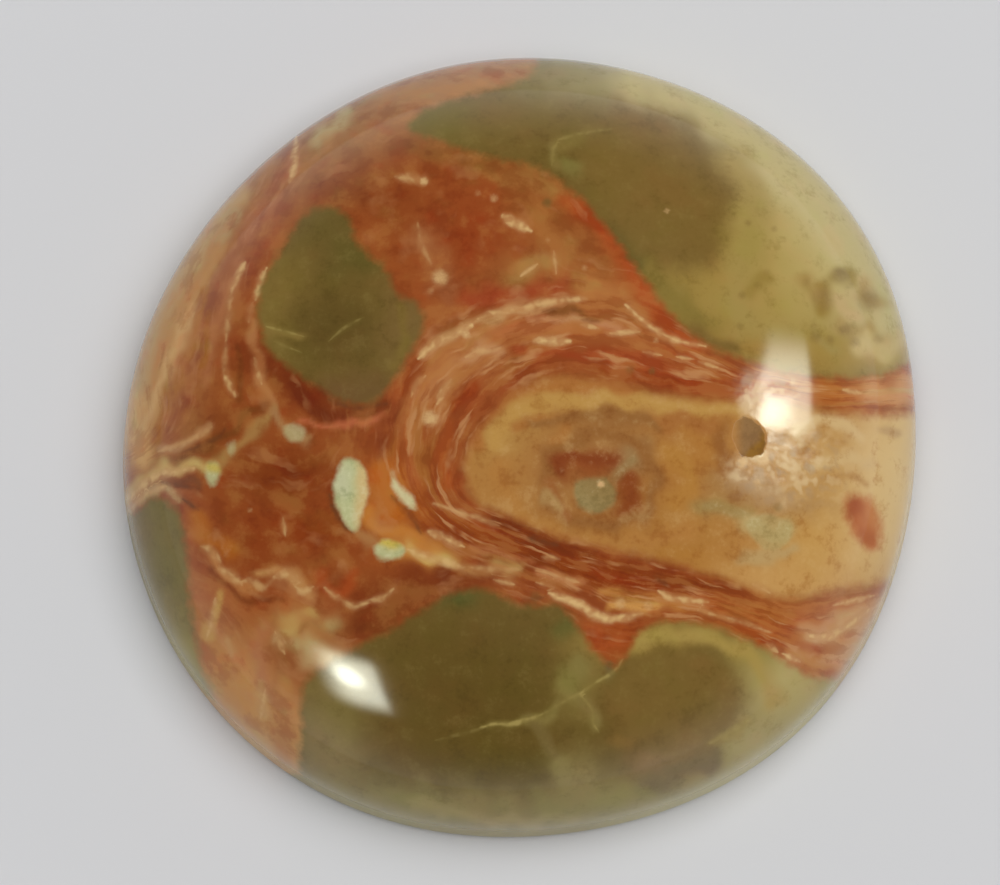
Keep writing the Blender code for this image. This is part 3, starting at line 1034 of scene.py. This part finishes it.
def pitted(points, places):
    """The points, with the hollow and the small pores of the porous patch sunk into the dome."""
    random = np.random.default_rng(PORE_SEED)
    share = np.clip(1.6 * hollow_share(places), 0.0, 1.0)
    # The hollow starts as a gentle dip on its left and is deepest on its right
    across = away_from(HOLLOW_MIDDLE, places, HOLLOW_SIZE)[0]
    tilted = (0.5 + 0.5 * np.clip(across, -1.0, 1.0)) ** 1.5
    sunk = HOLLOW_DEPTH * tilted * share**2 * (3.0 - 2.0 * share)
    middle, size = POROUS_PATCHES[0]
    for pore in range(PORES):
        spot = np.array(middle) + np.array(size) * random.normal(0.0, PORE_SPREAD, 2)
        away = np.hypot(*away_from(spot, places, random.uniform(*PORE_SIZES)))
        sunk = sunk + PORE_DEPTH * random.uniform(0.3, 1.0) * np.exp(-(away**2))
    moved = points.copy()
    moved[:, 2] -= sunk
    return moved


def pattern_places(points, depth):
    """Where in the photograph's pattern each point lies.

    The dome shows the pattern as it is. Below it the pattern goes on downwards, leaning a little and
    wavering, so that the back shows another cut through the same stone.
    """
    x, y = points[:, 0], points[:, 1]
    waver = DRIFT_WAVER * np.sin([420.0 * y, 380.0 * x + 1.0]).T
    return photo_pixels(points) + depth[:, None] * PIXELS_PER_METRE * (np.array(DRIFT) + waver)


def unsteady(places):
    """The places moved a little to and fro, so that what is painted there gets uneven edges."""
    random = np.random.default_rng(WAVE_SEED)
    moved = places.copy()
    for wave in range(WAVES):
        length = random.uniform(*WAVE_LENGTHS)
        across, heading, start = random.uniform(0.0, 2.0 * math.pi, 3)
        along = places @ np.array([math.cos(across), math.sin(across)])
        swing = WAVE_SWING * length * np.sin(start + 2.0 * math.pi / length * along)
        moved += swing[:, None] * np.array([math.cos(heading), math.sin(heading)])
    return moved


def mark(mesh, name, kind, key, values):
    """Lets the surface carry these numbers, some for each point, under this name."""
    layer = mesh.attributes.new(name, kind, "POINT")
    layer.data.foreach_set(key, np.ascontiguousarray(values, np.float32).ravel())


def banding(level):
    """How clear the fine layers are: most round the nodule, and a little more again at the rim."""
    return 0.30 + 0.70 * np.exp(-(((level - 0.5) / 0.62) ** 4)) + 0.1 * np.clip(level - 1.7, 0.0, 1.0)


def mark_stone(mesh, places, back):
    """Everything that the material needs to know about each point of the surface."""
    level = flow(places)
    agate, solid = agates_near(places)
    fields = {
        "level": level,
        "across": places[:, 0],
        "down": places[:, 1],
        "banded": banding(level),
        "clast": depth_outside(places, CLASTS),
        "core": depth_outside(places, CORES),
        "nodule": depth_outside(places, [NODULE]),
        "red_spot": depth_outside(places, [RED_SPOT]),
        "agate": agate,
        "solid": solid,
        "fleck_and_glint": flecks_and_glints_near(places),
        "porous": porous_share(places) * (1.0 - back),
        "hollow": hollow_share(places) - 2.0 * back,
        "back": back,
    }
    for name, values in fields.items():
        mark(mesh, name, "FLOAT", "value", values)
    for name, lines in LINES.items():
        mark(mesh, name, "FLOAT_VECTOR", "vector", lines_near(places, lines))
    places = unsteady(places)
    opacity = np.ones((len(places), 1))
    for part, ground in GROUNDS.items():
        tints = np.concatenate([stained(places, *ground), opacity], axis=1)
        mark(mesh, part + "_tint", "FLOAT_COLOR", "color", tints)


# The materials


def opaque(colour):
    """The colour in thousandths as Blender takes it."""
    return (*(level / FULL for level in colour), 1.0)


class Painter:
    """Writes the nodes of one material, lamp or world."""

    def __init__(self, owner):
        self.tree = owner.node_tree

    def plug(self, value, socket):
        """Joins an output to the socket, or sets the socket to the plain value."""
        if isinstance(value, bpy.types.NodeSocket):
            self.tree.links.new(value, socket)
        elif socket.type == "RGBA":
            socket.default_value = opaque(value)
        else:
            socket.default_value = value

    def node(self, kind, inputs=(), **settings):
        """A new node with these settings, and with its inputs given by their names or numbers."""
        made = self.tree.nodes.new("ShaderNode" + kind)
        for name, value in settings.items():
            setattr(made, name, value)
        for key, value in dict(inputs).items():
            self.plug(value, made.inputs[key])
        return made

    def math(self, operation, *values):
        """The outcome of the operation on the numbers."""
        return self.node("Math", enumerate(values), operation=operation).outputs[0]

    def vector(self, operation, *values):
        """The outputs of the vector operation: a vector, and after it a number."""
        return self.node("VectorMath", enumerate(values), operation=operation).outputs

    def add(self, first, second):
        return self.math("ADD", first, second)

    def line(self, value, slope, start):
        """The value times the slope, plus the start."""
        return self.math("MULTIPLY_ADD", value, slope, start)

    def times(self, *values):
        result = values[0]
        for value in values[1:]:
            result = self.math("MULTIPLY", result, value)
        return result

    def rise(self, value, low, high):
        """Goes smoothly from nought at low to one at high."""
        inputs = {"Value": value, "From Min": low, "From Max": high}
        return self.node("MapRange", inputs, interpolation_type="SMOOTHSTEP").outputs["Result"]

    def fall(self, value, low, high):
        """Goes smoothly from one at low to nought at high."""
        return self.math("SUBTRACT", 1.0, self.rise(value, low, high))

    def blend(self, share, under, over, how="MIX"):
        """The colour over, laid on the colour under by this share."""
        inputs = {0: share, 6: under, 7: over}
        return self.node("Mix", inputs, data_type="RGBA", blend_type=how).outputs[2]

    def dyed(self, colour, dye):
        """The colour, times the dye."""
        return self.blend(1.0, colour, dye, "MULTIPLY")

    def scaled(self, place, scale):
        return self.vector("MULTIPLY", place, scale)[0]

    def split(self, vector):
        """The three numbers of the vector."""
        return list(self.node("SeparateXYZ", {0: vector}).outputs)

    def noise(self, name, place):
        """The cloudy noise of this name, around one half."""
        size, detail, roughness, shift = NOISES[name]
        if shift:
            place = self.vector("ADD", place, (shift, 0.7 * shift, -shift))[0]
        inputs = {"Vector": place, "Scale": 1.0 / size, "Detail": detail, "Roughness": roughness}
        return self.node("TexNoise", inputs).outputs["Fac"]

    def field(self, name, kind="Fac"):
        """What the surface carries under this name."""
        return self.node("Attribute", attribute_name=name).outputs[kind]


class StonePainter(Painter):
    """A painter with the place in millimetres, and with the noises that all parts of the stone share."""

    def __init__(self, material):
        super().__init__(material)
        self.place = self.scaled(self.node("TexCoord").outputs["Object"], (1000.0, 1000.0, 1000.0))
        self.mottle = self.cloud("mottle")
        self.grain = self.cloud("grain")
        self.crinkle = self.cloud("crinkle")
        self.ragged = self.line(self.crinkle, 11.0, self.line(self.grain, 3.0, -7.0))
        self.waver = self.line(self.cloud("waver"), 2.4, self.line(self.grain, 0.5, -1.45))
        self.patchy = self.line(self.rise(self.cloud("patches"), 0.36, 0.62), 0.75, 0.25)

    def cloud(self, name):
        """The noise of this name, fixed in the stone."""
        return self.noise(name, self.place)

    def tone(self, mottle_share, grain_share, start):
        """How pale or dark the mottling and the grain make the place."""
        return self.line(self.mottle, mottle_share, self.line(self.grain, grain_share, start))

    def ground(self, part):
        """The colours laid for this part."""
        return self.field(part + "_tint", "Color")

    def covered(self, part):
        """How far the place lies inside the part of this name, whose edge is ragged and blurred."""
        share, inner, outer = EDGES[part]
        return self.fall(self.line(self.ragged, share, self.field(part)), inner, outer)


def toned(paint, part, tint, tone):
    """The part's tint, darker where the tone is low and paler where it is high."""
    dark, pale, share = TONES[part]
    lower = paint.blend(paint.rise(tone, 0.22, 0.5), paint.dyed(tint, dark), tint)
    return paint.blend(paint.rise(tone, 0.5, 0.8), lower, paint.blend(share, tint, pale))


def hued(paint, part, tint, hue):
    """The part's tint, dyed one way where the hue is low and another way where it is high."""
    low_dye, high_dye, spare = HUES[part]
    low = paint.fall(hue, 0.3 - spare, 0.5 - spare)
    high = paint.rise(hue, 0.5 + spare, 0.7 + spare)
    lower = paint.blend(low, tint, paint.dyed(tint, low_dye))
    return paint.blend(high, lower, paint.dyed(tint, high_dye))


def lined(paint, name, colour):
    """The colour under the drawn lines of this name and their blurred surroundings."""
    line_colour, halo_colour, halo_share = LINE_LOOKS[name]
    offset, gap, strength = paint.split(paint.field(name, "Vector"))
    across = paint.add(paint.math("ABSOLUTE", offset), paint.waver)
    core = paint.times(paint.fall(across, -0.2, 1.6), paint.fall(gap, 0.8, 2.8), strength, paint.patchy)
    halo = paint.times(paint.fall(paint.line(paint.waver, 3.0, gap), -1.5, 4.5), strength, halo_share)
    return paint.blend(core, paint.blend(halo, colour, halo_colour), line_colour)


def red_matrix(paint):
    """Fine layers of red jasper that flow around the nodule, with paler threads among them."""
    banded = paint.field("banded")
    level = paint.line(paint.field("level"), LAYERS_PER_LEVEL, -0.65)
    across, down = (paint.times(paint.field(name), 1.0 / LAYER_LENGTH) for name in ("across", "down"))
    layers = {0: paint.line(paint.mottle, 1.3, level), 1: across, 2: down}
    flowing = paint.node("CombineXYZ", layers).outputs[0]

    cloudy = paint.cloud("matrix hue")
    streaky = paint.noise("streaks", paint.scaled(flowing, (0.5, 0.8, 0.8)))
    hue = paint.line(banded, paint.math("SUBTRACT", streaky, cloudy), cloudy)
    tint = hued(paint, "matrix", paint.ground("matrix"), hue)

    layer_tone = paint.times(paint.line(paint.noise("layers", flowing), 2.3, -1.15), banded)
    tone = paint.line(paint.cloud("matrix tone"), 1.5, paint.line(paint.grain, 0.35, -0.425))
    colour = toned(paint, "matrix", tint, paint.add(tone, layer_tone))
    broken = paint.rise(paint.cloud("breaks"), 0.38, 0.56)
    threads = paint.times(paint.rise(paint.noise("threads", flowing), 0.53, 0.68), banded, broken, 0.8)
    return paint.blend(threads, colour, THREAD_COLOUR)


def tan_nodule(paint):
    """The tan nodule, and the red spot in it."""
    tan = toned(paint, "nodule", paint.ground("nodule"), paint.tone(1.0, 0.5, -0.25))
    return paint.blend(paint.covered("red_spot"), tan, paint.ground("red_spot"))


def olive_clast(paint):
    """An olive clast, with its darker core and yellow veins."""
    tint = paint.blend(paint.covered("core"), paint.ground("clast"), CORE_COLOUR)
    tint = hued(paint, "clast", tint, paint.cloud("clast hue"))
    olive = toned(paint, "clast", tint, paint.tone(0.9, 0.5, -0.2))
    return lined(paint, "veins", olive)


def chalcedony(paint):
    """Chalcedony in the old cavities, mint grey with a cream rim."""
    return toned(paint, "agate", paint.ground("agate"), paint.tone(1.2, 0.8, -0.5))


def flecked_and_glinting(paint, colour):
    """The colour with its bleached flecks, the painted glints among them, and its dull flecks."""
    uneven = paint.line(paint.grain, 0.9, paint.line(paint.crinkle, 0.9, 0.10))
    fleck_and_glint = paint.times(paint.field("fleck_and_glint"), uneven)
    pale_and_glinting = paint.rise(fleck_and_glint, 0.1, 1.1)
    dull = paint.rise(paint.times(fleck_and_glint, -1.0), 0.05, 1.2)
    return paint.blend(dull, paint.blend(pale_and_glinting, colour, FLECK_AND_GLINT_COLOUR), SPOT_COLOUR)


def porous_blots_and_glints(paint, colour):
    """The colour with the blots of the porous patch: ashen ones, and pale ones that are partly its bleached
    colour and partly painted glints.
    """
    porous = paint.field("porous")
    blots = paint.cloud("blots")
    ashen = paint.times(paint.fall(blots, 0.34, 0.50), porous, 0.5)
    # pale blots: partly the patch's bleached colour, partly painted glints
    pale_and_glinting = paint.times(paint.rise(blots, 0.50, 0.66), porous, 0.6)
    return paint.blend(pale_and_glinting, paint.blend(ashen, colour, ASH_COLOUR), BLOOM_AND_GLINT_COLOUR)


def hollowed(paint, colour):
    """The colour with the lining of the hollow: dark on the left, golden on the right."""
    across = paint.field("across")
    slope = paint.line(paint.field("down"), 0.8, paint.line(paint.cloud("blots"), 14.0, across))
    golden = paint.rise(slope, GOLDEN_FROM, GOLDEN_FROM + 10.0)
    lining = paint.blend(golden, HOLLOW_COLOUR, LINING_COLOUR)
    lumpy = paint.cloud("lining")
    lining = paint.blend(paint.rise(lumpy, 0.42, 0.58), lining, paint.dyed(lining, LINING_SHADE))
    # The edge is uneven, and on the left, where the hollow starts as a gentle dip, it fades away
    edge = paint.rise(paint.add(paint.field("hollow"), paint.add(lumpy, -0.5)), -0.16, 0.02)
    opened = paint.rise(across, HOLLOW_MIDDLE[0] - 20.0, HOLLOW_MIDDLE[0] - 4.0)
    return paint.blend(paint.times(edge, opened), colour, lining)


def painted_rim_glow(paint, colour):
    """The colour with a painted glow low on the dome, as of light shining through the thin edge, most of
    all at the lower right as the camera sees it.
    """
    right = paint.rise(paint.add(paint.field("across"), paint.field("down")), 1400.0, 1500.0)
    low = paint.fall(paint.split(paint.place)[2], 0.9, 3.2)
    front = paint.line(paint.field("back"), -1.0, 1.0)
    # painted glow, strongest at the lower right
    return paint.blend(paint.times(low, front, paint.line(right, 0.30, 0.24)), colour, RIM_GLOW_COLOUR)


def jasper_colour(paint):
    """The colour of the whole stone, from the matrix up to the flecks that lie on everything."""
    colour = red_matrix(paint)
    colour = paint.blend(paint.covered("nodule"), colour, tan_nodule(paint))
    colour = lined(paint, "dark_strands", colour)
    colour = lined(paint, "strands", colour)
    colour = paint.blend(paint.covered("clast"), colour, olive_clast(paint))
    agate = paint.times(paint.covered("agate"), paint.field("solid"))
    colour = paint.blend(agate, colour, chalcedony(paint))
    # the last of these lays a painted glow over the lowest part of the dome
    for laid in (flecked_and_glinting, porous_blots_and_glints, hollowed, painted_rim_glow):
        colour = laid(paint, colour)
    return paint.dyed(colour, WARMTH)


def roughness(paint):
    """A high polish, worn low on the dome and in the porous patch, and matt in the hollow and behind."""
    rough = paint.line(paint.cloud("smears"), SMEARS, POLISH - 0.5 * SMEARS)
    rough = paint.line(paint.fall(paint.split(paint.place)[2], 1.0, 3.2), RIM_WEAR, rough)
    rough = paint.line(paint.field("porous"), POROUS_WEAR, rough)
    hollow = paint.times(paint.rise(paint.field("hollow"), -0.14, 0.04), HOLLOW_ROUGHNESS)
    lapped = paint.times(paint.field("back"), paint.line(paint.cloud("lapping"), 0.16, 0.36))
    return paint.math("MAXIMUM", paint.math("MAXIMUM", rough, hollow), lapped)


def relief(paint):
    """The bumps of the surface: fine pits in the porous patch, and scratches on the back."""
    pits = paint.times(paint.field("porous"), paint.rise(paint.cloud("pores"), 0.30, 0.70))
    combed = paint.noise("scratches", paint.scaled(paint.place, (1.0, 9.0, 1.0)))
    height = paint.line(paint.times(paint.field("back"), combed), 0.25, pits)
    inputs = {"Strength": 1.0, "Distance": RELIEF_DEPTH, "Height": height}
    return paint.node("Bump", inputs).outputs["Normal"]


def new_material(name):
    """A material with its nodes, and its shader."""
    material = bpy.data.materials.new(name)
    material.use_nodes = True
    return material, material.node_tree.nodes["Principled BSDF"].inputs


def polished_jasper():
    """Brecciated jasper with a high polish, porous in one place, and its back lapped matt."""
    material, sockets = new_material("polished_jasper_look")
    paint = StonePainter(material)
    sockets["IOR"].default_value = REFRACTION
    paint.plug(jasper_colour(paint), sockets["Base Color"])
    paint.plug(roughness(paint), sockets["Roughness"])
    paint.plug(relief(paint), sockets["Normal"])
    return material


# The pieces and the light


def make_stone():
    """The stone's whole visible surface."""
    points, faces, depth, back = stone_surface()
    places = pattern_places(points, depth)
    mesh = bpy.data.meshes.new("polished_stone")
    # Nothing is sunk into the back, so its points are moved far away from the hollow and the pores
    front = places + FAR * FAR * back[:, None]
    mesh.from_pydata(pitted(points, front).tolist(), [], faces.tolist())
    mesh.shade_smooth()
    mark_stone(mesh, places, back)
    stone = link(bpy.data.objects.new("polished_stone", mesh))
    mesh.materials.append(polished_jasper())
    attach(stone, "root")
    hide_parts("stone")


def make_floor():
    """A plain pale floor that fills the view."""
    mesh = bpy.data.meshes.new("floor")
    corners = [(x * FLOOR_REACH, y * FLOOR_REACH, 0.0) for x, y in ((-1, -1), (1, -1), (1, 1), (-1, 1))]
    mesh.from_pydata(corners, [], [(0, 1, 2, 3)])
    floor = link(bpy.data.objects.new("floor", mesh))
    material, sockets = new_material("pale_floor")
    sockets["Base Color"].default_value = opaque(FLOOR_COLOUR)
    sockets["Roughness"].default_value = 0.9
    sockets["Specular IOR Level"].default_value = 0.2
    mesh.materials.append(material)


def make_lamp(name, azimuth, elevation, distance, size, radiance, spin=0.0):
    """A soft lamp that looks at the stone from this direction, in degrees."""
    data = bpy.data.lights.new(name, "AREA")
    data.shape = "RECTANGLE"
    data.size, data.size_y = size
    data.energy = radiance * math.pi * size[0] * size[1]
    lamp = link(bpy.data.objects.new(name, data))
    round_by = math.radians(azimuth)
    up_by = math.radians(elevation)
    flat = math.cos(up_by)
    towards = Vector((flat * math.cos(round_by), flat * math.sin(round_by), math.sin(up_by)))
    lamp.location = towards * distance + Vector((0.0, 0.0, 0.5 * HEIGHT))
    lamp.rotation_euler = towards.to_track_quat("Z", "Y").to_euler()
    lamp.rotation_euler.rotate_axis("Z", math.radians(spin))
    return lamp


def make_window(name, azimuth, elevation, spin, glow, sides, core, corner=None):
    """A hazy window that only shows as a reflection: it fades towards its sides and has a brighter core.

    The glow is the radiance of the window and what its core adds. The sides say where the light
    rises and falls along the lamp's two axes, in metres from its middle, and the core has a middle
    and a reach along each. A slanting corner can be taken off the window.
    """
    radiance, core_radiance = glow
    size = [2.0 * max(abs(side) for side in axis) for axis in sides]
    lamp = make_lamp(name, azimuth, elevation, WINDOW_DISTANCE, size, radiance, spin)
    lamp.visible_diffuse = False
    lamp.data.color = opaque(WINDOW_COLOUR)[:3]
    lamp.data.use_nodes = True
    paint = Painter(lamp.data)
    spots = paint.split(paint.node("NewGeometry").outputs["Parametric"])
    places = [paint.line(spots[axis], size[axis], -0.5 * size[axis]) for axis in range(2)]
    window = 1.0
    if corner:
        slant, fading, last = corner
        window = paint.fall(paint.line(places[0], slant, places[1]), fading, last)
    away = 0.0
    for place, (first, full, fading, last), (middle, reach) in zip(places, sides, core):
        window = paint.times(paint.rise(place, first, full), paint.fall(place, fading, last), window)
        off = paint.line(place, 1.0 / reach, -middle / reach)
        away = paint.line(off, off, away)
    brighter = paint.line(paint.fall(away, 0.0, 1.0), core_radiance / radiance, 1.0)
    emission = lamp.data.node_tree.nodes["Emission"]
    paint.plug(paint.times(window, brighter), emission.inputs["Strength"])


def light_room():
    """The room around the stone: brighter near the horizon than overhead, and most on one side."""
    world = bpy.data.worlds.new("room")
    bpy.context.scene.world = world
    world.use_nodes = True
    paint = Painter(world)
    towards = paint.node("TexCoord").outputs["Generated"]
    low = paint.fall(paint.split(towards)[2], 0.0, 0.6)
    facing = paint.vector("DOT_PRODUCT", towards, BRIGHT_SIDE)["Value"]
    side = paint.line(paint.rise(facing, -0.3, 0.9), 0.38, 0.82)
    sockets = world.node_tree.nodes["Background"].inputs
    sockets["Color"].default_value = (1.0, 1.0, 1.0, 1.0)
    paint.plug(paint.line(paint.times(low, 0.8), side, 0.12), sockets["Strength"])


def make_light():
    """Two hazy windows, a soft lamp overhead and the room around them."""
    make_window(
        "right_window", azimuth=20.5, elevation=45.0, spin=-17.0, glow=(9.5, 14.0),
        sides=((-0.070, -0.054, 0.010, 0.082), (-0.080, -0.064, 0.058, 0.084)),
        core=((-0.040, 0.060), (0.066, 0.105)), corner=(0.60, 0.050, 0.080),
    )
    make_window(
        "left_window", azimuth=-127.6, elevation=40.0, spin=35.0, glow=(13.0, 20.0),
        sides=((-0.085, -0.006, 0.040, 0.056), (-0.088, -0.026, 0.050, 0.086)),
        core=((-0.010, 0.040), (0.018, 0.036)),
    )
    key = make_lamp("key", azimuth=30.0, elevation=80.0, distance=0.8, size=(0.84, 0.84), radiance=2.8)
    key.visible_glossy = False
    light_room()


make_camera()
make_light()
make_floor()
make_stone()
